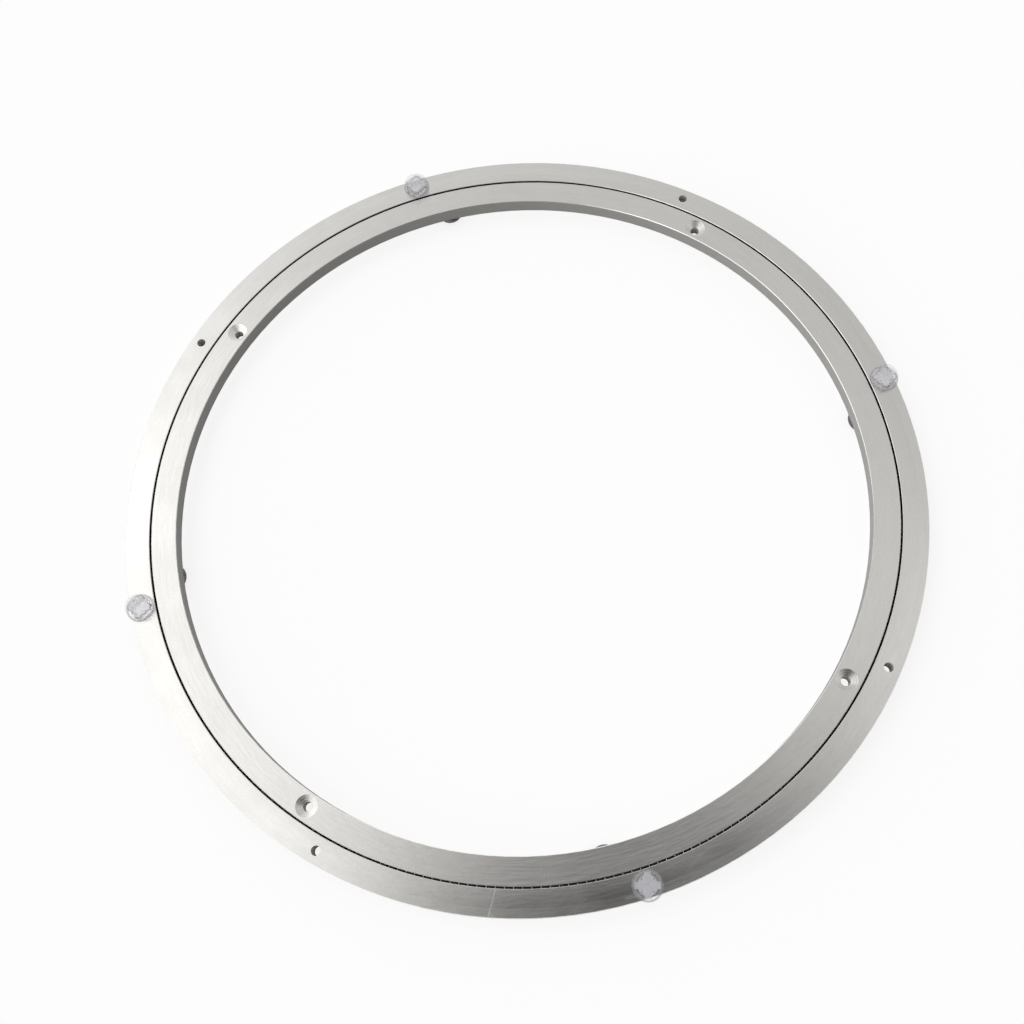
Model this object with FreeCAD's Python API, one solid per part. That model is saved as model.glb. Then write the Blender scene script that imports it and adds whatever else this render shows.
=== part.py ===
import FreeCAD, Part
import math
import os

from FreeCAD import Vector

# Lazy susan bearing: two flat aluminium rings, one inside the other, with steel balls between them.
# The inner ring lies still on four clear feet; the outer ring turns and carries four clear pads.
# The origin is the centre of the circle at the level that the feet stand on, +Z is up. Millimetres.

# Rings
outer_diameter = 400.0
outer_ring_width = 12.5
inner_ring_width = 12.9
ring_gap = 0.8
ring_height = 8.0
edge_chamfer = 0.3

# Balls, their race and the hole that they are filled in through
ball_diameter = 4.0
ball_spacing = 0.08
ball_belt_tilt = 27.0
race_clearance = 0.3
race_angle = 90.0
filling_hole_clearance = 0.2
filling_hole_turn = 247.5
plug_fit = 0.05
plug_sink = 0.2

# Screw holes, a little off the middle of their ring, away from the balls
screws_per_ring = 4
screw_hole_diameter = 4.5
screw_hole_offset = 0.25
countersink_land = 1.2
countersink_angle = 90.0

# Pads on the outer ring and feet under the inner ring, both of one pattern
pads_per_ring = 4
pad_height = 5.0
foot_height = 3.0
crown_diameter = 12.6
crown_chamfer = 0.5
flange_lip = 0.7
flange_height = 1.1
gap_margin = 0.1
boot_wall = 0.6
boot_roof = 1.2
hub_fit = 0.1
lobes_per_hub = 4
lobe_width = 3.0
lobe_depth = 1.2
hub_turn = -17.0
pad_sides = 20

# How the ring stands in the photograph: the outer ring is turned a little on the inner one
outer_ring_turn = 4.5

# Places that follow from the sizes above
AXIS = Vector(0, 0, 1)
CENTRE = Vector(0, 0, 0)
outer_rim = outer_diameter / 2
outer_wall = outer_rim - outer_ring_width
race_radius = outer_wall - ring_gap / 2
inner_wall = outer_wall - ring_gap
bore_radius = inner_wall - inner_ring_width
ring_base = foot_height
ring_top = ring_base + ring_height
race_level = ring_base + ring_height / 2
race_half_width = (ball_diameter / 2 + race_clearance) / math.sin(math.radians(race_angle / 2))
filling_hole_radius = ball_diameter / 2 + filling_hole_clearance
screw_hole_radius = screw_hole_diameter / 2
outer_screw_circle_radius = outer_wall + outer_ring_width / 2 + screw_hole_offset
inner_screw_circle_radius = inner_wall - inner_ring_width / 2 - screw_hole_offset
crown_radius = crown_diameter / 2
flange_radius = crown_radius + flange_lip
pad_circle_radius = outer_wall + gap_margin + flange_radius
foot_circle_radius = inner_wall - gap_margin - flange_radius
lobe_span = crown_diameter - 2 * (boot_wall + hub_fit)
hub_width = lobe_span - 2 * lobe_depth
half_step = 180.0 / screws_per_ring


def pattern(count, first_turn):
    """Return the turns, in degrees, of a number of places spread evenly round a circle."""
    return [first_turn + 360.0 * index / count for index in range(count)]


def circle_points(count, first_turn, radius, level):
    """Return points spread evenly round the axis at a radius and a level."""
    turns = [math.radians(turn) for turn in pattern(count, first_turn)]
    return [Vector(radius * math.cos(turn), radius * math.sin(turn), level) for turn in turns]


def placed(shape, turn, radius, level):
    """Return a copy moved out to a radius and a level, then turned round the bearing's axis."""
    copy = shape.copy()
    copy.translate(Vector(radius, 0, level))
    copy.rotate(CENTRE, AXIS, turn)
    return copy


def flat_face(corners):
    """Return the flat face inside a closed loop of corners."""
    return Part.Face(Part.makePolygon(corners + corners[:1]))


def turned(outline):
    """Return the solid that a closed outline of (radius, level) points sweeps round the axis."""
    face = flat_face([Vector(radius, 0, level) for radius, level in outline])
    return face.revolve(CENTRE, AXIS, 360)


def flat_ring(inner_radius, outer_radius):
    """Return a plain ring with the two edges of its top face chamfered."""
    return turned([
        (inner_radius, ring_base),
        (outer_radius, ring_base),
        (outer_radius, ring_top - edge_chamfer),
        (outer_radius - edge_chamfer, ring_top),
        (inner_radius + edge_chamfer, ring_top),
        (inner_radius, ring_top - edge_chamfer),
    ])


def race():
    """Return the space in which the balls run: a square on its corner, a V groove in each ring."""
    half_height = race_half_width * math.tan(math.radians(race_angle / 2))
    return turned([
        (race_radius - race_half_width, race_level),
        (race_radius, race_level - half_height),
        (race_radius + race_half_width, race_level),
        (race_radius, race_level + half_height),
    ])


def plain_hole():
    """Return the cutter of a plain screw hole, standing at the axis."""
    return Part.makeCylinder(screw_hole_radius, ring_height)


def countersunk_hole():
    """Return the cutter of a screw hole with its countersink at the top, standing at the axis."""
    sink_radius = inner_ring_width / 2 - countersink_land
    depth = (sink_radius - screw_hole_radius) / math.tan(math.radians(countersink_angle / 2))
    sink = Part.makeCone(screw_hole_radius, sink_radius, depth, Vector(0, 0, ring_height - depth))
    return plain_hole().fuse(sink)


def radial_pin(radius, near, far):
    """Return a cylinder at race level that runs along the filling hole's axis."""
    start = Vector(near, 0, race_level)
    return Part.makeCylinder(radius, far - near, start, Vector(1, 0, 0))


def upside_down(shape):
    """Return a copy turned over about the X axis."""
    copy = shape.copy()
    copy.rotate(CENTRE, Vector(1, 0, 0), 180)
    return copy


def inner_ring():
    """Return the still ring with its race, countersunk screw holes and filling hole."""
    ring = flat_ring(bore_radius, inner_wall)
    hole = countersunk_hole()
    cutters = [
        placed(hole, turn, inner_screw_circle_radius, ring_base)
        for turn in pattern(screws_per_ring, half_step)
    ]
    filling = radial_pin(filling_hole_radius, bore_radius - edge_chamfer, race_radius)
    cutters.append(placed(filling, filling_hole_turn, 0, 0))
    return ring.cut([race()] + cutters)


def outer_ring():
    """Return the turning ring with its race and plain screw holes."""
    ring = flat_ring(outer_wall, outer_rim)
    cutters = [
        placed(plain_hole(), turn, outer_screw_circle_radius, ring_base)
        for turn in pattern(screws_per_ring, outer_ring_turn + half_step)
    ]
    return ring.cut([race()] + cutters)


def filling_plug():
    """Return the plug of the filling hole, sunk a little in the bore; its tip carries the race on."""
    pin = radial_pin(filling_hole_radius - plug_fit, bore_radius + plug_sink, race_radius)
    return placed(pin.cut(race()), filling_hole_turn, 0, 0)


def faceted_ball():
    """Return a ball with sixteen flat faces, made of two belts of four corners and two poles."""
    radius = ball_diameter / 2
    tilt = math.radians(ball_belt_tilt)
    reach = radius * math.cos(tilt)
    level = radius * math.sin(tilt)
    low = circle_points(4, 0, reach, -level)
    high = circle_points(4, 45, reach, level)
    bottom = Vector(0, 0, -radius)
    top = Vector(0, 0, radius)
    faces = []
    for index in range(4):
        a, b = low[index], low[(index + 1) % 4]
        c, d = high[index], high[(index + 1) % 4]
        for corners in ([bottom, b, a], [a, b, c], [b, d, c], [c, d, top]):
            faces.append(flat_face(corners))
    return Part.makeSolid(Part.makeShell(faces))


def bearing_balls():
    """Return the full row of balls, close together round the race."""
    count = int(math.pi * 2 * race_radius / (ball_diameter + ball_spacing))
    ball = faceted_ball()
    row = [placed(ball, turn, race_radius, race_level) for turn in pattern(count, 0)]
    return Part.makeCompound(row)


def drum(radius, sides, low, high):
    """Return a block with flat sides between two levels, its corners on the radius."""
    return flat_face(circle_points(sides, 0, radius, low)).extrude(Vector(0, 0, high - low))


def centred_box(length, breadth, height):
    """Return a box that stands on level zero with its middle on the axis."""
    return Part.makeBox(length, breadth, height, Vector(-length / 2, -breadth / 2, 0))


def lobed_core(growth, height):
    """Return a square with a lobe at each corner, its sides moved out by a growth."""
    side = hub_width + 2 * growth
    span = lobe_span + 2 * growth
    width = lobe_width + 2 * growth
    square = drum(side / math.sqrt(2), lobes_per_hub, 0, height)
    cross = centred_box(span, width, height).fuse(centred_box(width, span, height))
    reach = centred_box(span, span, height)
    core = square.common(reach).fuse(cross).removeSplitter()
    core.rotate(CENTRE, AXIS, hub_turn)
    return core


def hub(height):
    """Return a frosted hub, the lobed core that stands on the ring inside a boot."""
    return lobed_core(0, height - boot_roof - hub_fit)


def boot(height):
    """Return a clear boot: a flanged cap with a pocket that takes the hub."""
    crown = drum(crown_radius, pad_sides, 0, height)
    rim = [edge for edge in crown.Edges if edge.BoundBox.ZMin > flange_height]
    crown = crown.makeChamfer(crown_chamfer, rim)
    cap = crown.fuse(drum(flange_radius, pad_sides, 0, flange_height)).removeSplitter()
    return cap.cut(lobed_core(hub_fit, height - boot_roof))


def save(name, shape):
    """Write one piece to its own file and print its size."""
    shape.exportStep(os.path.join("parts", name + ".step"))
    box = shape.BoundBox
    print(f"{name}: {len(shape.Solids)} solids, {shape.Volume:.1f} mm3, "
          f"z {box.ZMin:.2f} to {box.ZMax:.2f}, valid {shape.isValid()}")


def save_pads(name, piece, radius, level, first_turn):
    """Write the copies of a pad's piece, numbered round the ring."""
    for number, turn in enumerate(pattern(pads_per_ring, first_turn), start=1):
        save(f"{name}_{number}", placed(piece, turn, radius, level))


def main():
    """Build every piece of the bearing and write it to the parts folder."""
    os.makedirs("parts", exist_ok=True)
    save("inner_ring", inner_ring())
    save("outer_ring", outer_ring())
    save("bearing_balls", bearing_balls())
    save("filling_plug", filling_plug())
    on_top = (pad_circle_radius, ring_top, outer_ring_turn)
    save_pads("top_pad_boot", boot(pad_height), *on_top)
    save_pads("top_pad_hub", hub(pad_height), *on_top)
    below = (foot_circle_radius, ring_base, 0)
    save_pads("foot_boot", upside_down(boot(foot_height)), *below)
    save_pads("foot_hub", upside_down(hub(foot_height)), *below)


main()
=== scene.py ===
import logging
import math
from dataclasses import dataclass
from enum import Enum
from typing import Sequence

import bpy
import numpy as np
from mathutils import Matrix, Vector


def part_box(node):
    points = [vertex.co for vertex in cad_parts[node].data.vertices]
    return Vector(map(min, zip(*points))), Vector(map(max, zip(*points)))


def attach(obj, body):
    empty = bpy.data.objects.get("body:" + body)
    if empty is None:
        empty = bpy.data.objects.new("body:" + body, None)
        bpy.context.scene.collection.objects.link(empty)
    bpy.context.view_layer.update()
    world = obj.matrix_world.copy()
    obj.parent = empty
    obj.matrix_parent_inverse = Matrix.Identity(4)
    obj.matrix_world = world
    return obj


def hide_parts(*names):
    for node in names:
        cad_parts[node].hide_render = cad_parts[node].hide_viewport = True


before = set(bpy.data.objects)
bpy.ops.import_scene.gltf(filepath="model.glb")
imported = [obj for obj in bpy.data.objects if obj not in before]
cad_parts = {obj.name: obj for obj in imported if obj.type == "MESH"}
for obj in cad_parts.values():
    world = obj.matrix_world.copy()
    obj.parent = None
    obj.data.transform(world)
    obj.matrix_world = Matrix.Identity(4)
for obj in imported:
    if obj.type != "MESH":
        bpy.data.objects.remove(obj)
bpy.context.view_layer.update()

# Dresses the lazy susan bearing: two turned aluminium rings with steel balls between them, clear
# boots over frosted hubs on top of the outer ring, and the same pads as feet under the inner ring.
# Everything is in metres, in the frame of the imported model, with +Z up along the turning axis.

logging.basicConfig(level=logging.INFO, format="%(message)s")
log = logging.getLogger("bearing")

Colour = tuple[float, float, float]
Socket = bpy.types.NodeSocket
Value = float | Socket

# The circle that the balls run on, in the middle of the gap between the rings
RACE_RADIUS = 0.1871

# How far a face looks up: flat ones go past the first value, steep ones stay under the second
FLAT_FACE = 0.7
STEEP_FACE = 0.3

# Most of a noise lies between these values
NOISE_LOW = 0.3
NOISE_HIGH = 0.7


class Body(Enum):
    """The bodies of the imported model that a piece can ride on."""

    INNER = "inner_body"
    OUTER = "outer_body"
    BALLS = "ball_set"


class Slot(Enum):
    """The record's material slots."""

    RING = "ring_aluminium"
    PLUG = "plug_aluminium"
    BALL = "ball_steel"
    BOOT = "clear_vinyl"
    HUB = "frosted_plastic"


class PadSide(Enum):
    """Where a pad stands: on top of the outer ring or as a foot under the inner ring."""

    TOP = "top_pad"
    FOOT = "foot"


class Tree:
    """A node tree with short calls that add and wire its nodes."""

    def __init__(self, owner: bpy.types.Material | bpy.types.World) -> None:
        """Start an empty tree.

        Args:
            owner: the material or world whose nodes are built.
        """
        owner.use_nodes = True
        self.nodes = owner.node_tree.nodes
        self.links = owner.node_tree.links
        self.nodes.clear()

    def add(self, kind: str, **settings: object) -> bpy.types.Node:
        """Add a node.

        Args:
            kind: the node's type name.
            settings: properties that are set on the node.

        Returns:
            The new node.
        """
        node = self.nodes.new(kind)
        for name, value in settings.items():
            setattr(node, name, value)
        return node

    def feed(self, target: Socket, value: object) -> None:
        """Wire a socket to another one, or set its own number or colour.

        Args:
            target: the input that is fed.
            value: an output to link, or a plain value.
        """
        if isinstance(value, bpy.types.NodeSocket):
            self.links.new(value, target)
        else:
            target.default_value = value

    def math(self, operation: str, *values: Value, clamp: bool = False) -> Socket:
        """Add a math step.

        Args:
            operation: the name of the operation.
            values: its inputs, numbers or outputs of other nodes.
            clamp: whether the result is kept between 0 and 1.

        Returns:
            The step's output.
        """
        node = self.add("ShaderNodeMath", operation=operation, use_clamp=clamp)
        for target, value in zip(node.inputs, values):
            self.feed(target, value)
        return node.outputs[0]

    def vector(self, operation: str, *values: object) -> Socket:
        """Add a vector math step that gives a vector."""
        return self.vector_node(operation, *values).outputs["Vector"]

    def measure(self, operation: str, *values: object) -> Socket:
        """Add a vector math step that gives a number."""
        return self.vector_node(operation, *values).outputs["Value"]

    def vector_node(self, operation: str, *values: object) -> bpy.types.Node:
        """Add a vector math step.

        Args:
            operation: the name of the operation.
            values: its inputs, vectors or outputs of other nodes.

        Returns:
            The step's node.
        """
        node = self.add("ShaderNodeVectorMath", operation=operation)
        for target, value in zip(node.inputs, values):
            self.feed(target, value)
        return node

    def scaled(self, vector: Socket, factor: Value) -> Socket:
        """Scale a vector.

        Args:
            vector: the vector.
            factor: the number that it is multiplied with.

        Returns:
            The longer or shorter vector.
        """
        node = self.add("ShaderNodeVectorMath", operation="SCALE")
        self.feed(node.inputs["Vector"], vector)
        self.feed(node.inputs["Scale"], factor)
        return node.outputs["Vector"]

    def combine(self, x: Value, y: Value, z: Value) -> Socket:
        """Join three numbers into a vector.

        Args:
            x: its first part.
            y: its second part.
            z: its third part.

        Returns:
            The vector.
        """
        node = self.add("ShaderNodeCombineXYZ")
        for target, value in zip(node.inputs, (x, y, z)):
            self.feed(target, value)
        return node.outputs[0]

    def noise(self, place: Socket, size: float, detail: float = 2.0) -> Socket:
        """Add a noise.

        Args:
            place: where the noise is read.
            size: how large one grain of it is, in the unit of the place.
            detail: how many finer layers it has.

        Returns:
            Its strength, from 0 to 1.
        """
        node = self.add("ShaderNodeTexNoise")
        node.inputs["Scale"].default_value = 1 / size
        node.inputs["Detail"].default_value = detail
        self.feed(node.inputs["Vector"], place)
        return node.outputs["Fac"]

    def span(self, value: Socket, low: float, high: float, start: float, end: float) -> Socket:
        """Carry a value smoothly from one range to another.

        Args:
            value: the value that is carried over.
            low: where the result starts to change.
            high: where the result stops changing.
            start: the result at low and below.
            end: the result at high and above.

        Returns:
            The carried value.
        """
        node = self.add("ShaderNodeMapRange", interpolation_type="SMOOTHSTEP")
        for name, number in (("From Min", low), ("From Max", high), ("To Min", start), ("To Max", end)):
            node.inputs[name].default_value = number
        self.feed(node.inputs["Value"], value)
        return node.outputs["Result"]

    def spread(self, noise: Socket, start: float, end: float) -> Socket:
        """Carry a noise, most of which lies near its middle, over to a whole range."""
        return self.span(noise, NOISE_LOW, NOISE_HIGH, start, end)

    def upward(self, normal: Socket) -> Socket:
        """Return how far a face with this normal looks up, from -1 to 1."""
        return self.measure("DOT_PRODUCT", normal, (0.0, 0.0, 1.0))

    def sideways(self, upward: Socket) -> Socket:
        """Return the share, from 0 to 1, that is full on faces that look neither up nor down."""
        return self.span(self.math("ABSOLUTE", upward), STEEP_FACE, FLAT_FACE, 1.0, 0.0)

    def blend(self, share: Value, first: object, second: object) -> Socket:
        """Mix two colours.

        Args:
            share: how much of the second colour is taken, from 0 to 1.
            first: the colour at a share of 0.
            second: the colour at a share of 1.

        Returns:
            The mixed colour.
        """
        node = self.add("ShaderNodeMix", data_type="RGBA")
        sockets = (node.inputs["Factor"], *(s for s in node.inputs if s.type == "RGBA"))
        for target, value in zip(sockets, (share, first, second)):
            self.feed(target, value)
        return next(s for s in node.outputs if s.type == "RGBA")

    def mixed(self, share: Value, first: object, second: object) -> Socket:
        """Mix two vectors.

        Args:
            share: how much of the second vector is taken, from 0 to 1.
            first: the vector at a share of 0.
            second: the vector at a share of 1.

        Returns:
            The mixed vector.
        """
        node = self.add("ShaderNodeMix", data_type="VECTOR")
        sockets = (node.inputs["Factor"], *(s for s in node.inputs if s.type == "VECTOR"))
        sockets = (sockets[0], *sockets[-2:])
        for target, value in zip(sockets, (share, first, second)):
            self.feed(target, value)
        return next(s for s in node.outputs if s.type == "VECTOR")

    def bump(self, height: Socket, distance: float, normal: Socket | None = None) -> Socket:
        """Turn a height into a normal.

        Args:
            height: the height as a share of the distance.
            distance: how high a height of 1 stands, in metres.
            normal: a normal that the relief is laid over.

        Returns:
            The bumped normal.
        """
        node = self.add("ShaderNodeBump")
        node.inputs["Distance"].default_value = distance
        self.feed(node.inputs["Height"], height)
        if normal is not None:
            self.feed(node.inputs["Normal"], normal)
        return node.outputs["Normal"]


@dataclass(frozen=True)
class Polar:
    """Where a shaded point lies, seen from an upright axis."""

    place: Socket
    level: Socket
    radius: Socket
    turn: Socket
    outward: Socket

    @classmethod
    def of(cls, tree: Tree, place: Socket) -> "Polar":
        """Build the coordinates.

        Args:
            tree: the tree that takes the nodes.
            place: the point's place, with the axis at its zero.

        Returns:
            The coordinates as sockets, in metres and radians.
        """
        parts = tree.add("ShaderNodeSeparateXYZ")
        tree.feed(parts.inputs[0], place)
        x, y, level = parts.outputs
        flat = tree.combine(x, y, 0.0)
        turn = tree.math("ARCTAN2", y, x)
        return cls(place, level, tree.measure("LENGTH", flat), turn, tree.vector("NORMALIZE", flat))

    def grain(self, tree: Tree, size: float, around: float, across: float) -> Socket:
        """Return a noise whose grains run round the axis.

        Args:
            tree: the tree that takes the nodes.
            size: the radius at which the grain's length holds.
            around: how long a grain is along the circle.
            across: how wide a grain is.

        Returns:
            The noise, from 0 to 1.
        """
        side = tree.math("ADD", self.radius, self.level)
        lift = tree.combine(0.0, 0.0, tree.math("MULTIPLY", side, around / across))
        return tree.noise(tree.vector("ADD", tree.scaled(self.outward, size), lift), around)


@dataclass(frozen=True)
class HoleCircle:
    """A ring's screw holes, spread evenly round its axis."""

    radius: float
    first_turn: float
    edge: float
    hole_radius: float = 0.00225
    bore_margin: float = 0.00004
    edge_margin: float = 0.1
    count: int = 4

    def nearest(self, tree: Tree, ring: Polar) -> Polar:
        """Return the coordinates of a point as seen from the nearest hole.

        Args:
            tree: the tree that takes the nodes.
            ring: the point's coordinates as seen from the ring's axis.

        Returns:
            The coordinates with the hole's middle as their axis.
        """
        half_step = math.pi / self.count
        ahead = tree.math("SUBTRACT", ring.turn, self.first_turn)
        beside = tree.math("WRAP", ahead, half_step, -half_step)
        towards = tree.math("SUBTRACT", ring.turn, beside)
        middle = tree.combine(tree.math("COSINE", towards), tree.math("SINE", towards), 0.0)
        return Polar.of(tree, tree.vector("SUBTRACT", ring.place, tree.scaled(middle, self.radius)))


@dataclass(frozen=True)
class FallenTop:
    """The gentle fall of the outer ring's top, which a fine crease near the rim ends."""

    start: float = 0.1880
    crease: float = 0.1958
    lean: float = 0.031
    curve: float = 5.33
    lean_beyond: float = 0.065

    def height(self, tree: Tree, ring: Polar) -> Socket:
        """Return the height of the ring's top.

        Args:
            tree: the tree that takes the nodes.
            ring: the point's coordinates as seen from the ring's axis.

        Returns:
            The height over the top's inner edge in metres, 0 or less.
        """
        run = tree.math("MAXIMUM", tree.math("SUBTRACT", ring.radius, self.start), 0.0)
        inside = tree.math("MINIMUM", run, self.crease - self.start)
        slope = tree.math("ADD", tree.math("MULTIPLY", inside, self.curve), self.lean)
        fall = tree.math("MULTIPLY", inside, slope)
        beyond = tree.math("MULTIPLY", tree.math("SUBTRACT", run, inside), self.lean_beyond)
        return tree.math("MULTIPLY", tree.math("ADD", fall, beyond), -1.0)


@dataclass(frozen=True)
class Stroke:
    """A light mark on the metal, from one place to another, given by radius and turn in degrees."""

    start: tuple[float, float]
    end: tuple[float, float]
    width: float
    strength: float
    core: float = 0.2

    def share(self, tree: Tree, place: Socket) -> Socket:
        """Return how strongly the mark covers a place.

        Args:
            tree: the tree that takes the nodes.
            place: the shaded point's place.

        Returns:
            The share, from 0 to the mark's strength.
        """
        first, last = (
            Vector((radius * math.cos(math.radians(turn)), radius * math.sin(math.radians(turn)), 0.0))
            for radius, turn in (self.start, self.end)
        )
        run = last - first
        from_first = tree.vector("SUBTRACT", place, tuple(first))
        reached = tree.measure("DOT_PRODUCT", from_first, tuple(run))
        along = tree.math("MULTIPLY", reached, 1 / run.length_squared, clamp=True)
        nearest = tree.vector("MULTIPLY", tree.combine(along, along, 0.0), tuple(run))
        aside = tree.vector("SUBTRACT", from_first, nearest)
        flat = tree.measure("LENGTH", tree.vector("MULTIPLY", aside, (1.0, 1.0, 0.0)))
        return tree.span(flat, self.core * self.width, self.width, self.strength, 0.0)


def new_material(name: str) -> tuple[bpy.types.Material, Tree, bpy.types.Node]:
    """Start a material with a surface shader.

    Args:
        name: the finish in a maker's words.

    Returns:
        The material, its tree and its surface shader.
    """
    material = bpy.data.materials.new(name)
    tree = Tree(material)
    surface = tree.add("ShaderNodeBsdfPrincipled")
    output = tree.add("ShaderNodeOutputMaterial")
    tree.feed(output.inputs["Surface"], surface.outputs[0])
    return material, tree, surface


def grey(level: float, warmth: float = 0.0) -> tuple[float, float, float, float]:
    """Return a grey with a little more red and less blue for its warmth, as a socket's colour."""
    return (level * (1 + warmth), level, level * (1 - 2 * warmth), 1.0)


@dataclass
class Coat:
    """A finish as far as its layers have been laid over each other."""

    colour: Socket
    normal: Socket
    outward: Socket
    matt: Value = 0.0


@dataclass(frozen=True)
class TurnedAluminium:
    """Satin aluminium that was turned on a lathe, with short fine streaks round its axis."""

    name: str
    size: float
    shade: float = 0.74
    # Painted highlight: the chamfered edges are coloured nearly white for the light they catch
    edge_painted_highlight: float = 0.97
    edge_facing: tuple[float, float] = (0.7, 0.2)
    streak_depth: float = 0.030
    warmth: float = 0.018
    roughness: float = 0.26
    roughness_spread: float = 0.02
    anisotropy: float = 0.85
    gloss_level: float = 0.1
    streak: tuple[float, float] = (0.008, 0.0013)
    band: tuple[float, float] = (0.03, 0.0026)
    line_range: tuple[float, float] = (0.36, 0.64)
    speckle: float = 0.0008
    cloud: float = 0.02
    relief: float = 0.000020
    holes: HoleCircle | None = None
    sink_slope: float = 0.22
    ring_pitch: float = 0.00095
    ring_depth: float = 0.000022
    ring_share: float = 0.35
    ring_contrast: float = 0.10
    # Painted shade: the screw holes' walls are dull and coloured darker than the top for the shade inside
    # them
    hole_wall_painted_shade: float = 0.55
    # Painted shade: the hollows behind the gap between the rings are coloured nearly black
    gap_painted_shade: float = 0.02
    hollow_facing: float = 0.85
    hollow_reach: float = 0.0032
    lip_reach: float = 0.00045
    wall_radius: float = 0.0
    # Painted shade: the bore's wall is dull and coloured darker than the top for the shade on it
    bore_wall_painted_shade: float = 0.60
    wall_roughness: float = 0.75
    top: FallenTop | None = None
    marks: tuple[Stroke, ...] = ()
    mark_shade: float = 0.90

    def lines(self, tree: Tree, polar: Polar, size: float) -> Socket:
        """Return the fine lines that the lathe left.

        Args:
            tree: the tree that takes the nodes.
            polar: the coordinates that the lines run round.
            size: the radius at which a line's length holds.

        Returns:
            The height of the lines, from 0 to 1.
        """
        streaks = polar.grain(tree, size, *self.streak)
        bands = polar.grain(tree, size, *self.band)
        both = tree.math("DIVIDE", tree.math("ADD", streaks, bands), 2.0)
        return tree.span(both, *self.line_range, 0.0, 1.0)

    def tone(self, tree: Tree, place: Socket, lines: Socket) -> Socket:
        """Return the lines with a fine speckle over them, from 0 to 1."""
        speckles = tree.spread(tree.noise(place, self.speckle), 0.0, 1.0)
        return tree.math("DIVIDE", tree.math("ADD", lines, speckles), 2.0)

    def metal(self, tree: Tree, tone: Socket, shade: float, contrast: float) -> Socket:
        """Return the metal's colour for a tone, round a middle shade and with a contrast."""
        dull, bright = shade * (1 - contrast), shade * (1 + contrast)
        return tree.blend(tone, grey(dull, self.warmth), grey(bright, self.warmth))

    def masks(self, tree: Tree, ring: Polar, upward: Socket) -> tuple[Socket, Socket]:
        """Find the chamfered edges, which take a painted highlight, and the hollows behind the gap, which
        take painted shade.

        Args:
            tree: the tree that takes the nodes.
            ring: the point's coordinates as seen from the ring's axis.
            upward: how far the face looks up.

        Returns:
            The share of the edges and the share of the hollows, each 0 or 1.
        """
        off_gap = tree.math("ABSOLUTE", tree.math("SUBTRACT", ring.radius, RACE_RADIUS))
        edge = tree.math("COMPARE", upward, *self.edge_facing)
        edge = tree.math("MULTIPLY", edge, tree.math("GREATER_THAN", off_gap, self.lip_reach))
        hollow = tree.math("COMPARE", upward, 0.0, self.hollow_facing)
        hollow = tree.math("MULTIPLY", hollow, tree.math("LESS_THAN", off_gap, self.hollow_reach))
        return edge, tree.math("MULTIPLY", hollow, tree.math("SUBTRACT", 1.0, edge))

    def lay_holes(self, tree: Tree, coat: Coat, ring: Polar) -> Socket:
        """Lay the countersinks' turned rings and the bores' dull walls, painted darker as their shade,
        over the coat.

        Args:
            tree: the tree that takes the nodes.
            coat: the coat, which is changed.
            ring: the point's coordinates as seen from the ring's axis.

        Returns:
            The share that is 0 in and beside the holes and 1 away from them.
        """
        hole = self.holes.nearest(tree, ring)
        sunk = tree.math("LESS_THAN", hole.radius, self.holes.edge)
        rings = tree.math("SINE", tree.math("MULTIPLY", hole.radius, 2 * math.pi / self.ring_pitch))
        lines = self.lines(tree, hole, self.holes.edge)
        tone = tree.math("MULTIPLY", rings, self.ring_share)
        tone = tree.math("ADD", tone, self.tone(tree, ring.place, lines))
        turned = self.metal(tree, tone, self.shade, self.ring_contrast)
        coat.colour = tree.blend(sunk, coat.colour, turned)
        coat.outward = tree.mixed(sunk, coat.outward, hole.outward)
        facing = tree.add("ShaderNodeNewGeometry").outputs["Normal"]
        eased = tree.vector("MULTIPLY", facing, (self.sink_slope, self.sink_slope, 1.0))
        eased = tree.vector("NORMALIZE", eased)
        coat.normal = tree.mixed(sunk, coat.normal, tree.bump(tone, self.ring_depth, eased))
        bored = tree.math("LESS_THAN", hole.radius, self.holes.hole_radius + self.holes.bore_margin)
        # Painted shade on the dull walls of the screw holes
        walls = self.metal(tree, tone, self.hole_wall_painted_shade, self.ring_contrast)
        coat.colour = tree.blend(bored, coat.colour, walls)
        coat.matt = bored
        return tree.math("GREATER_THAN", hole.radius, (1 + self.holes.edge_margin) * self.holes.edge)

    def lay_marks(self, tree: Tree, coat: Coat, place: Socket) -> None:
        """Lay the light marks of wear over the coat.

        Args:
            tree: the tree that takes the nodes.
            coat: the coat, which is changed.
            place: the shaded point's place.
        """
        for mark in self.marks:
            share = mark.share(tree, place)
            coat.colour = tree.blend(share, coat.colour, grey(self.mark_shade))
            coat.matt = tree.math("MAXIMUM", coat.matt, share)

    def lay_wall(self, tree: Tree, coat: Coat, inside: Socket, tone: Socket) -> None:
        """Lay the dull wall of the ring's bore over the coat, painted darker than the top as its shade.

        Args:
            tree: the tree that takes the nodes.
            coat: the coat, which is changed.
            inside: the share that is 1 on the wall and 0 elsewhere.
            tone: the tone of the turned lines.
        """
        dull = self.metal(tree, tone, self.bore_wall_painted_shade, self.streak_depth)
        coat.colour = tree.blend(inside, coat.colour, dull)
        coat.matt = tree.math("MAXIMUM", coat.matt, inside)

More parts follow.
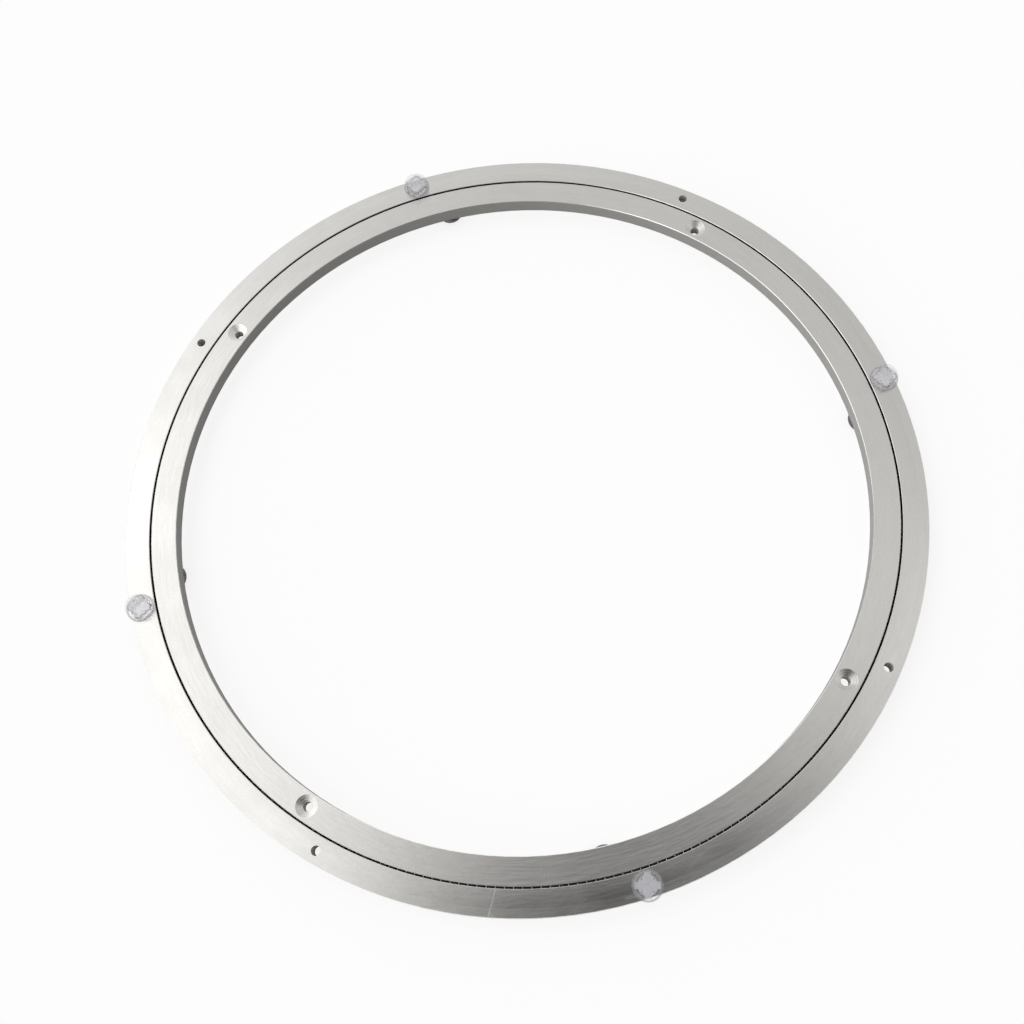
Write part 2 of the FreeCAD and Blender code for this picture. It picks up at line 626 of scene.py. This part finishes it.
    def wire(self, tree: Tree, surface: bpy.types.Node, coat: Coat, rough: Socket) -> None:
        """Wire the finished coat to the surface shader.

        Args:
            tree: the tree that takes the nodes.
            surface: the surface shader.
            coat: the coat.
            rough: the roughness.
        """
        tree.feed(surface.inputs["Base Color"], coat.colour)
        tree.feed(surface.inputs["Metallic"], tree.math("SUBTRACT", 1.0, coat.matt))
        tree.feed(surface.inputs["Roughness"], rough)
        surface.inputs["Specular IOR Level"].default_value = self.gloss_level
        surface.inputs["Anisotropic"].default_value = self.anisotropy
        turned = tree.add(
            "ShaderNodeVectorTransform", vector_type="VECTOR", convert_from="OBJECT", convert_to="WORLD")
        tree.feed(turned.inputs[0], coat.outward)
        tree.feed(surface.inputs["Tangent"], turned.outputs[0])
        tree.feed(surface.inputs["Normal"], coat.normal)

    def material(self) -> bpy.types.Material:
        """Build the material, one layer over the other.

        Returns:
            The new material.
        """
        material, tree, surface = new_material(self.name)
        coordinates = tree.add("ShaderNodeTexCoord").outputs
        ring = Polar.of(tree, coordinates["Object"])
        upward = tree.upward(coordinates["Normal"])
        edge, hollow = self.masks(tree, ring, upward)
        lines = self.lines(tree, ring, self.size)
        tone = self.tone(tree, ring.place, lines)
        plain = self.metal(tree, tone, self.shade, self.streak_depth)
        # Painted shade: the hollows behind the gap are coloured nearly black
        shaded = tree.blend(hollow, plain, grey(self.gap_painted_shade))
        coat = Coat(shaded, tree.bump(lines, self.relief), ring.outward)
        if self.holes:
            edge = tree.math("MULTIPLY", edge, self.lay_holes(tree, coat, ring))
        # Painted highlight: the chamfers are coloured nearly white
        coat.colour = tree.blend(edge, coat.colour, grey(self.edge_painted_highlight, self.warmth))
        self.lay_marks(tree, coat, ring.place)
        if self.wall_radius:
            # Painted shade: the dull bore wall is coloured darker than the top
            steep = tree.math("LESS_THAN", tree.math("ABSOLUTE", upward), STEEP_FACE)
            bore = tree.math("LESS_THAN", ring.radius, self.wall_radius)
            self.lay_wall(tree, coat, tree.math("MULTIPLY", bore, steep), tone)
        if self.top:
            coat.normal = tree.bump(self.top.height(tree, ring), 1.0, coat.normal)
        least, most = self.roughness - self.roughness_spread, self.roughness + self.roughness_spread
        rough = tree.spread(tree.noise(ring.place, self.cloud), least, most)
        dull = tree.math("MAXIMUM", coat.matt, hollow)
        more = tree.math("MULTIPLY", dull, self.wall_roughness - self.roughness)
        self.wire(tree, surface, coat, tree.math("ADD", rough, more))
        return material


@dataclass(frozen=True)
class BallSteel:
    """Bearing steel, painted near black as the shade deep in the race between the rings."""

    # Painted shade: the balls are coloured near black for the shade in the narrow race
    shade: float = 0.05
    hazy_shade: float = 0.045
    roughness: float = 0.25
    hazy_roughness: float = 0.5
    haze_size: float = 0.0011

    def material(self) -> bpy.types.Material:
        """Build the material.

        Returns:
            The new material.
        """
        material, tree, surface = new_material("ball steel, painted dark as shade")
        haze = tree.noise(tree.add("ShaderNodeTexCoord").outputs["Object"], self.haze_size)
        tree.feed(surface.inputs["Roughness"], tree.spread(haze, self.roughness, self.hazy_roughness))
        # Painted shade: near-black steel colour
        tree.feed(surface.inputs["Base Color"], tree.blend(haze, grey(self.shade), grey(self.hazy_shade)))
        surface.inputs["Metallic"].default_value = 1.0
        return material


@dataclass(frozen=True)
class RimLine:
    """A circle on a boot where its rounded edge catches or loses the light."""

    radius: float
    width: float
    shade: float
    cover: float


@dataclass(frozen=True)
class ClearVinyl:
    """Soft see-through vinyl with a pale lilac milk in it and the slight waves of a moulded skin.

    The covers say how much the skin hides on faces that look up, to the side and down.
    """

    name: str = "clear vinyl"
    tint: Colour = (0.90, 0.89, 0.97)
    cover: float = 0.08
    # Painted shade: the side walls are coloured darker for the dark rims that refraction gives in the
    # clear skin
    painted_side_shade_tint: Colour = (0.45, 0.44, 0.52)
    side_cover: float = 0.15
    base_cover: float = 0.0
    roughness: float = 0.15
    wavy_roughness: float = 0.225
    wave_size: float = 0.0022
    wave_height: float = 0.00006
    lines: tuple[RimLine, ...] = (
        RimLine(radius=0.00592, width=0.00022, shade=0.95, cover=0.20),
        RimLine(radius=0.00640, width=0.00036, shade=0.13, cover=0.46),
        RimLine(radius=0.00688, width=0.00022, shade=0.26, cover=0.45),
    )

    def material(self) -> bpy.types.Material:
        """Build the material.

        Returns:
            The new material.
        """
        material, tree, surface = new_material(self.name)
        coordinates = tree.add("ShaderNodeTexCoord").outputs
        middle = Polar.of(tree, coordinates["Object"])
        wave = tree.noise(middle.place, self.wave_size)
        upward = tree.upward(coordinates["Normal"])
        on_top = tree.span(upward, STEEP_FACE, FLAT_FACE, 0.0, 1.0)
        side = tree.sideways(upward)
        # Painted shade on the side walls
        colour = tree.blend(side, (*self.tint, 1.0), (*self.painted_side_shade_tint, 1.0))
        cover = tree.span(upward, -FLAT_FACE, -STEEP_FACE, self.base_cover, 0.0)
        cover = tree.math("ADD", cover, tree.math("MULTIPLY", on_top, self.cover))
        cover = tree.math("ADD", cover, tree.math("MULTIPLY", side, self.side_cover))
        for line in self.lines:
            off = tree.math("ABSOLUTE", tree.math("SUBTRACT", middle.radius, line.radius))
            share = tree.math("MULTIPLY", tree.span(off, 0.0, line.width, 1.0, 0.0), on_top)
            colour = tree.blend(share, colour, grey(line.shade))
            more = tree.math("MULTIPLY", share, line.cover)
            cover = tree.math("ADD", cover, more, clamp=True)
        tree.feed(surface.inputs["Base Color"], colour)
        tree.feed(surface.inputs["Alpha"], cover)
        tree.feed(surface.inputs["Roughness"], tree.spread(wave, self.roughness, self.wavy_roughness))
        tree.feed(surface.inputs["Normal"], tree.bump(wave, self.wave_height))
        return material


@dataclass(frozen=True)
class FrostedPlastic:
    """Milky, half-clear plastic with a frosted skin, the four pits of its mould and a dimple; the pits and
    the side walls take painted shade.
    """

    milk: Colour = (0.98, 0.97, 1.00)
    clouded: Colour = (0.82, 0.81, 0.88)
    cover: float = 0.36
    # Painted shade: the hub's side walls are coloured darker, outlining its lobes
    painted_side_shade_colour: Colour = (0.34, 0.34, 0.41)
    side_cover: float = 0.50
    # Painted shade: the mould's pits are only coloured dark, for the shade in them
    painted_pit_shade: Colour = (0.25, 0.25, 0.31)
    roughness: float = 0.5
    frost_size: float = 0.0003
    frost_height: float = 0.00001
    cloud_size: float = 0.0007
    cloud_range: tuple[float, float] = (0.35, 0.65)
    pit_place: float = 0.0027
    pit_radius: float = 0.00036
    pit_blur: float = 0.4
    dimple_radius: float = 0.0010
    dimple_depth: float = 0.0004
    clear_facing: float = -0.5

    def material(self) -> bpy.types.Material:
        """Build the material.

        Returns:
            The new material.
        """
        material, tree, surface = new_material("frosted plastic")
        coordinates = tree.add("ShaderNodeTexCoord").outputs
        place = coordinates["Object"]
        flat = tree.vector("MULTIPLY", tree.vector("ABSOLUTE", place), (1.0, 1.0, 0.0))
        away = tree.measure("DISTANCE", flat, (self.pit_place, self.pit_place, 0.0))
        blur = self.pit_radius * self.pit_blur
        pit = tree.span(away, self.pit_radius - blur, self.pit_radius + blur, 1.0, 0.0)
        cloud = tree.span(tree.noise(place, self.cloud_size), *self.cloud_range, 0.0, 1.0)
        colour = tree.blend(cloud, (*self.clouded, 1.0), (*self.milk, 1.0))
        # Painted shade in the mould's pits
        colour = tree.blend(pit, colour, (*self.painted_pit_shade, 1.0))
        upward = tree.upward(coordinates["Normal"])
        side = tree.sideways(upward)
        # Painted shade on the hub's side walls
        colour = tree.blend(side, colour, (*self.painted_side_shade_colour, 1.0))
        tree.feed(surface.inputs["Base Color"], colour)
        covered = tree.span(tree.math("MAXIMUM", side, pit), 0.0, 1.0, self.cover, self.side_cover)
        shown = tree.math("GREATER_THAN", upward, self.clear_facing)
        tree.feed(surface.inputs["Alpha"], tree.math("MULTIPLY", covered, shown))
        surface.inputs["Roughness"].default_value = self.roughness
        dimple = tree.span(tree.measure("LENGTH", flat), 0.0, self.dimple_radius, 0.0, 1.0)
        frost = tree.bump(tree.noise(place, self.frost_size), self.frost_height)
        tree.feed(surface.inputs["Normal"], tree.bump(dimple, self.dimple_depth, frost))
        return material


@dataclass(frozen=True)
class PaleFloor:
    """A plain white sheet that keeps the object's shadow."""

    shade: float = 0.26
    glow: float = 0.80

    def material(self) -> bpy.types.Material:
        """Build the material.

        Returns:
            The new material.
        """
        material = bpy.data.materials.new("pale floor")
        tree = Tree(material)
        sheet = tree.add("ShaderNodeBsdfDiffuse")
        sheet.inputs["Color"].default_value = grey(self.shade)
        path = tree.add("ShaderNodeLightPath").outputs
        seen = tree.math("MAXIMUM", path["Is Camera Ray"], path["Is Glossy Ray"])
        seen = tree.math("MAXIMUM", seen, path["Is Transmission Ray"])
        glow = tree.add("ShaderNodeEmission")
        tree.feed(glow.inputs["Strength"], tree.math("MULTIPLY", seen, self.glow))
        both = tree.add("ShaderNodeAddShader")
        tree.feed(both.inputs[0], sheet.outputs[0])
        tree.feed(both.inputs[1], glow.outputs[0])
        output = tree.add("ShaderNodeOutputMaterial")
        tree.feed(output.inputs["Surface"], both.outputs[0])
        return material


def mesh_object(name: str, points: np.ndarray, faces: Sequence[Sequence[int]]) -> bpy.types.Object:
    """Make a smooth-shaded mesh object at the origin.

    Args:
        name: the piece's name.
        points: its points, one row each, in metres.
        faces: the point numbers of each face.

    Returns:
        The new object, linked into the scene.
    """
    mesh = bpy.data.meshes.new(name)
    mesh.from_pydata(points.tolist(), [], [list(face) for face in faces])
    mesh.shade_smooth()
    mesh.update()
    made = bpy.data.objects.new(name, mesh)
    bpy.context.scene.collection.objects.link(made)
    return made


def stacked_loops(loops: Sequence[np.ndarray]) -> tuple[np.ndarray, list[list[int]]]:
    """Join closed loops of points into a skin, capped at both ends.

    Args:
        loops: the loops in order, each with as many points, one row each.

    Returns:
        The points and the faces, for mesh_object.
    """
    count = len(loops[0])
    first = np.mean(loops[0], axis=0)
    last = np.mean(loops[-1], axis=0)
    points = np.vstack([*loops, first, last])
    faces = []
    for level in range(len(loops) - 1):
        for here in range(count):
            there = (here + 1) % count
            low, high = level * count, (level + 1) * count
            faces.append([low + here, low + there, high + there, high + here])
    first_number, last_number = len(points) - 2, len(points) - 1
    end = (len(loops) - 1) * count
    for here in range(count):
        there = (here + 1) % count
        faces.append([first_number, there, here])
        faces.append([last_number, end + here, end + there])
    return points, faces


@dataclass(frozen=True)
class SoftLight:
    """A soft part of the dome round the table that fades from its middle."""

    azimuth: float
    height: float
    focus: float
    strength: float

    def build(self, tree: Tree, direction: Socket) -> Socket:
        """Add the light to the dome.

        Args:
            tree: the dome's tree.
            direction: the direction that is looked in.

        Returns:
            The light's share of the dome's strength.
        """
        turn, rise = math.radians(self.azimuth), math.radians(self.height)
        middle = (math.cos(turn) * math.cos(rise), math.sin(turn) * math.cos(rise), math.sin(rise))
        near = tree.measure("DOT_PRODUCT", direction, middle)
        fade = tree.math("MULTIPLY", tree.math("SUBTRACT", near, 1.0), self.focus)
        return tree.math("MULTIPLY", tree.math("EXPONENT", fade), self.strength)


@dataclass
class Studio:
    """The photographer's place, the soft dome of light round the table and the white sheet on it."""

    eye: tuple[float, float, float] = (-0.01114, -0.20043, 0.51121)
    aim: tuple[float, float, float] = (-0.00483, -0.01006, 0.01100)
    roll: float = math.radians(-11.218)
    lens: float = 37.861
    shift: tuple[float, float] = (-0.00049, 0.00049)
    clip: tuple[float, float] = (0.01, 50.0)
    floor_half: float = 6.0
    floor_level: float = -0.00005
    dome: float = 0.47
    lights: tuple[SoftLight, ...] = (
        SoftLight(azimuth=100.0, height=5.3, focus=1.5, strength=0.70),
        SoftLight(azimuth=133.7, height=52.9, focus=24.5, strength=1.42),
        SoftLight(azimuth=-10.7, height=64.9, focus=19.7, strength=1.30),
        SoftLight(azimuth=189.5, height=70.3, focus=25.8, strength=2.30),
        SoftLight(azimuth=185.0, height=15.0, focus=4.0, strength=1.10),
        SoftLight(azimuth=223.0, height=30.0, focus=70.0, strength=2.60),
    )
    shades: tuple[SoftLight, ...] = (
        SoftLight(azimuth=273.0, height=68.3, focus=6.0, strength=0.97),
        SoftLight(azimuth=285.0, height=84.8, focus=61.0, strength=0.95),
        SoftLight(azimuth=270.0, height=5.0, focus=8.0, strength=0.75),
        SoftLight(azimuth=25.0, height=0.0, focus=14.0, strength=0.85),
        SoftLight(azimuth=135.0, height=0.0, focus=14.0, strength=0.85),
    )

    def camera(self) -> None:
        """Stand the camera where the photograph was taken."""
        data = bpy.data.cameras.new("camera")
        data.lens = self.lens
        data.shift_x, data.shift_y = self.shift
        data.clip_start, data.clip_end = self.clip
        camera = bpy.data.objects.new("camera", data)
        look = Vector(self.aim) - Vector(self.eye)
        level = look.to_track_quat("-Z", "Y").to_matrix().to_4x4()
        camera.matrix_world = Matrix.Translation(self.eye) @ level @ Matrix.Rotation(self.roll, 4, "Z")
        bpy.context.scene.collection.objects.link(camera)
        bpy.context.scene.camera = camera

    def light_up(self) -> None:
        """Light the table with a soft dome that is dark where the photographer leans over it."""
        world = bpy.context.scene.world or bpy.data.worlds.new("studio")
        bpy.context.scene.world = world
        tree = Tree(world)
        direction = tree.add("ShaderNodeTexCoord").outputs["Generated"]
        total: Value = self.dome
        for light in self.lights:
            total = tree.math("ADD", total, light.build(tree, direction))
        for shade in self.shades:
            total = tree.math("MULTIPLY", total, tree.math("SUBTRACT", 1.0, shade.build(tree, direction)))
        background = tree.add("ShaderNodeBackground")
        tree.feed(background.inputs["Strength"], total)
        output = tree.add("ShaderNodeOutputWorld")
        tree.feed(output.inputs["Surface"], background.outputs[0])

    def floor(self) -> None:
        """Lay the white sheet that the feet stand on."""
        half, level = self.floor_half, self.floor_level
        sides = ((-half, -half), (half, -half), (half, half), (-half, half))
        corners = np.array([[x, y, level] for x, y in sides])
        sheet = mesh_object("floor_sheet", corners, [[0, 1, 2, 3]])
        sheet.data.materials.append(PaleFloor().material())

    def build(self) -> None:
        """Set up the whole studio."""
        bpy.context.scene.view_settings.view_transform = "Standard"
        self.camera()
        self.light_up()
        self.floor()
        log.info("studio: camera, %d soft lights, floor", len(self.lights))


@dataclass
class RingPair:
    """The two aluminium rings and the plug of the filling hole."""

    inner_middle: float = 0.1802
    outer_middle: float = 0.1938
    bore_wall: float = 0.17384
    plug_shade: float = 0.5
    inner_holes: HoleCircle = HoleCircle(radius=0.180, first_turn=math.radians(45), edge=0.00525)
    outer_holes: HoleCircle = HoleCircle(radius=0.194, first_turn=math.radians(49.5), edge=0.00229)
    marks: tuple[Stroke, ...] = (
        Stroke(start=(0.1878, -105.5), end=(0.1947, -105.9), width=0.00034, strength=0.24),
        Stroke(start=(0.1947, -105.9), end=(0.1990, -106.2), width=0.00034, strength=0.24),
        Stroke(start=(0.1972, -106.1), end=(0.1992, -105.7), width=0.00030, strength=0.18),
        Stroke(start=(0.1938, -46.3), end=(0.1960, -47.4), width=0.00030, strength=0.18),
        Stroke(start=(0.1972, -88.6), end=(0.1972, -86.7), width=0.0012, strength=0.06),
        Stroke(start=(0.1908, -77.4), end=(0.1935, -79.6), width=0.00028, strength=0.05),
        Stroke(start=(0.1915, -76.9), end=(0.1950, -80.4), width=0.00024, strength=0.05),
        Stroke(start=(0.1893, -90.6), end=(0.1925, -89.2), width=0.00028, strength=0.05),
        Stroke(start=(0.1900, -92.0), end=(0.1945, -90.4), width=0.00024, strength=0.05),
    )

    def dress(self, node: str, finish: TurnedAluminium) -> None:
        """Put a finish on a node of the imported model.

        Args:
            node: the node's name.
            finish: the finish that it takes.
        """
        material = finish.material()
        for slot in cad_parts[node].material_slots:
            slot.material = material
        log.info("%s: %s", node, material.name)

    def build(self) -> None:
        """Give the rings and the plug their metal."""
        inner = TurnedAluminium(
            "turned aluminium, inner ring", self.inner_middle,
            holes=self.inner_holes, wall_radius=self.bore_wall)
        outer = TurnedAluminium(
            "turned aluminium, outer ring", self.outer_middle,
            holes=self.outer_holes, top=FallenTop(), marks=self.marks)
        plug = TurnedAluminium("turned aluminium, plug", self.inner_middle, shade=self.plug_shade)
        self.dress("inner_ring", inner)
        self.dress("outer_ring", outer)
        self.dress("filling_plug", plug)


@dataclass
class BallRow:
    """The full row of balls in the race."""

    ball_radius: float = 0.002
    count: int = 288
    fineness: int = 3

    def ball(self) -> tuple[np.ndarray, np.ndarray]:
        """Make one smooth ball.

        Returns:
            Its points round the zero, and its faces.
        """
        bpy.ops.mesh.primitive_ico_sphere_add(subdivisions=self.fineness, radius=self.ball_radius)
        pattern = bpy.context.object
        points = np.array([tuple(vertex.co) for vertex in pattern.data.vertices])
        faces = np.array([tuple(face.vertices) for face in pattern.data.polygons])
        bpy.data.objects.remove(pattern)
        return points, faces

    def row(self, level: float) -> bpy.types.Object:
        """Make the row as one piece.

        Args:
            level: the height of the balls' middles.

        Returns:
            The row of balls.
        """
        ball, faces = self.ball()
        points, sides = [], []
        for number, turn in enumerate(np.arange(self.count) * 2 * math.pi / self.count):
            middle = np.array([RACE_RADIUS * math.cos(turn), RACE_RADIUS * math.sin(turn), level])
            points.append(ball + middle)
            sides.append(faces + number * len(ball))
        return mesh_object("ball_row", np.vstack(points), np.vstack(sides).tolist())

    def build(self) -> None:
        """Make the row where its node is and give it its steel."""
        low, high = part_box("bearing_balls")
        row = self.row((low.z + high.z) / 2)
        row.data.materials.append(BallSteel().material())
        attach(row, Body.BALLS.value)
        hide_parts("bearing_balls")
        log.info("ball_row: %d balls", self.count)


@dataclass
class PadSet:
    """The pads of one side: clear boots over frosted hubs."""

    side: PadSide
    body: Body
    count: int = 4
    points_round: int = 144
    flange_radius: float = 0.0070
    flange_height: float = 0.0011
    crown_radius: float = 0.0063
    crown_round: float = 0.0006
    edge_round: float = 0.00018
    roof: float = 0.0012
    hub_fit: float = 0.0001
    lobe_span: float = 0.0112
    lobe_width: float = 0.0030
    hub_turn: float = math.radians(-17.0)
    hub_round: float = 0.00025
    hub_body: float = 0.0045
    seat: float = 0.00003
    round_steps: int = 6

    def turns(self) -> np.ndarray:
        """Return the angles of a loop's points."""
        return np.arange(self.points_round) * 2 * math.pi / self.points_round

    def loop(self, radii: np.ndarray | float, level: float) -> np.ndarray:
        """Return a closed loop of points round the Z axis.

        Args:
            radii: the loop's radius, or one radius for each point.
            level: the loop's height.

        Returns:
            The loop's points.
        """
        turns = self.turns()
        flat = np.column_stack([np.cos(turns), np.sin(turns), np.zeros(len(turns))])
        return flat * np.reshape(radii * np.ones(len(turns)), (-1, 1)) + np.array([0, 0, level])

    def lobed(self, growth: float, level: float, turn: float = 0.0) -> np.ndarray:
        """Return a loop that follows the hub's outline, a round body with four square lobes.

        Args:
            growth: how far the outline is moved out.
            level: the loop's height.
            turn: how far the outline is turned about its middle.

        Returns:
            The loop's points.
        """
        turns = self.turns() - turn
        tiny = 1e-9
        along = np.maximum(np.abs(np.cos(turns)), tiny)
        beside = np.maximum(np.abs(np.sin(turns)), tiny)
        reach = self.lobe_span / 2 + growth
        half = self.lobe_width / 2 + growth
        one_arm = np.minimum(reach / along, half / beside)
        other_arm = np.minimum(half / along, reach / beside)
        far = np.maximum(np.maximum(one_arm, other_arm), self.hub_body + growth)
        smooth = (np.roll(far, 1) + 6 * far + np.roll(far, -1)) / 8
        return self.loop(smooth, level)

    def rounded(self, radius: float, level: float, size: float) -> list[np.ndarray]:
        """Return the loops of a rounded top edge, from the side up to the top.

        Args:
            radius: the radius of the side.
            level: the height of the top.
            size: the radius of the rounding.

        Returns:
            The loops in order.
        """
        steps = np.linspace(0, math.pi / 2, self.round_steps)
        return [
            self.loop(radius - size + size * math.cos(step), level - size + size * math.sin(step))
            for step in steps
        ]

    def boot(self, name: str, height: float) -> bpy.types.Object:
        """Make a boot that stands at the origin.

        Args:
            name: the piece's name.
            height: the boot's height.

        Returns:
            The boot, with a pocket for the hub.
        """
        ceiling = height - self.roof
        loops = [
            self.lobed(self.hub_fit, ceiling, self.hub_turn),
            self.lobed(self.hub_fit, self.seat, self.hub_turn),
            self.loop(self.flange_radius - self.edge_round, self.seat),
            self.loop(self.flange_radius, self.edge_round),
            *self.rounded(self.flange_radius, self.flange_height, self.edge_round),
            self.loop(self.crown_radius + self.edge_round, self.flange_height),
            self.loop(self.crown_radius, self.flange_height + self.edge_round),
            *self.rounded(self.crown_radius, height, self.crown_round),
        ]
        return mesh_object(name, *stacked_loops(loops))

    def hub(self, name: str, height: float) -> bpy.types.Object:
        """Make a hub that stands at the origin.

        Args:
            name: the piece's name.
            height: the hub's height.

        Returns:
            The hub, with softened top edges.
        """
        soft = self.hub_round
        knee = 0.3 * soft
        loops = [
            self.lobed(0.0, self.seat),
            self.lobed(0.0, height - soft),
            self.lobed(-knee, height - knee),
            self.lobed(-soft, height),
        ]
        return mesh_object(name, *stacked_loops(loops))

    def place(self, piece: bpy.types.Object, node: str, slot: Slot, extra_turn: float) -> None:
        """Stand a piece where its node is.

        Args:
            piece: the piece, made at the origin.
            node: the node that it stands for.
            slot: the record's slot for the piece; it is not used.
            extra_turn: how far it is turned about its own axis from the radial direction.
        """
        low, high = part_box(node)
        middle = (low + high) / 2
        turn = math.atan2(middle.y, middle.x)
        if self.side is PadSide.TOP:
            stand = Matrix.Rotation(turn + extra_turn, 4, "Z")
            level = low.z
        else:
            stand = Matrix.Rotation(turn - extra_turn, 4, "Z") @ Matrix.Rotation(math.pi, 4, "X")
            level = high.z
        piece.matrix_world = Matrix.Translation((middle.x, middle.y, level)) @ stand
        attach(piece, self.body.value)
        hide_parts(node)

    def build(self, boot_skin: bpy.types.Material, hub_skin: bpy.types.Material) -> None:
        """Make the pads of this side.

        Args:
            boot_skin: the material of the boots.
            hub_skin: the material of the hubs.
        """
        for number in range(1, self.count + 1):
            boot_node = f"{self.side.value}_boot_{number}"
            hub_node = f"{self.side.value}_hub_{number}"
            low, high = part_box(boot_node)
            height = high.z - low.z
            boot = self.boot(f"clear_boot_{self.side.value}_{number}", height)
            boot.data.materials.append(boot_skin)
            self.place(boot, boot_node, Slot.BOOT, 0.0)
            hub = self.hub(f"frosted_hub_{self.side.value}_{number}", height - self.roof - self.hub_fit)
            hub.data.materials.append(hub_skin)
            self.place(hub, hub_node, Slot.HUB, self.hub_turn)
            log.info("%s and %s stand for their nodes", boot.name, hub.name)


def main() -> None:
    """Build the studio and dress the bearing, piece by piece."""
    Studio().build()
    RingPair().build()
    BallRow().build()
    hub_skin = FrostedPlastic().material()
    top_skin = ClearVinyl().material()
    shadow = (0.13, 0.12, 0.17)
    foot_vinyl = ClearVinyl(
        "clear vinyl, shaded", tint=shadow, cover=0.75, painted_side_shade_tint=shadow, side_cover=0.55, base_cover=0.70)
    PadSet(PadSide.TOP, Body.OUTER).build(top_skin, hub_skin)
    PadSet(PadSide.FOOT, Body.INNER).build(foot_vinyl.material(), hub_skin)


if __name__ == "__main__":
    main()
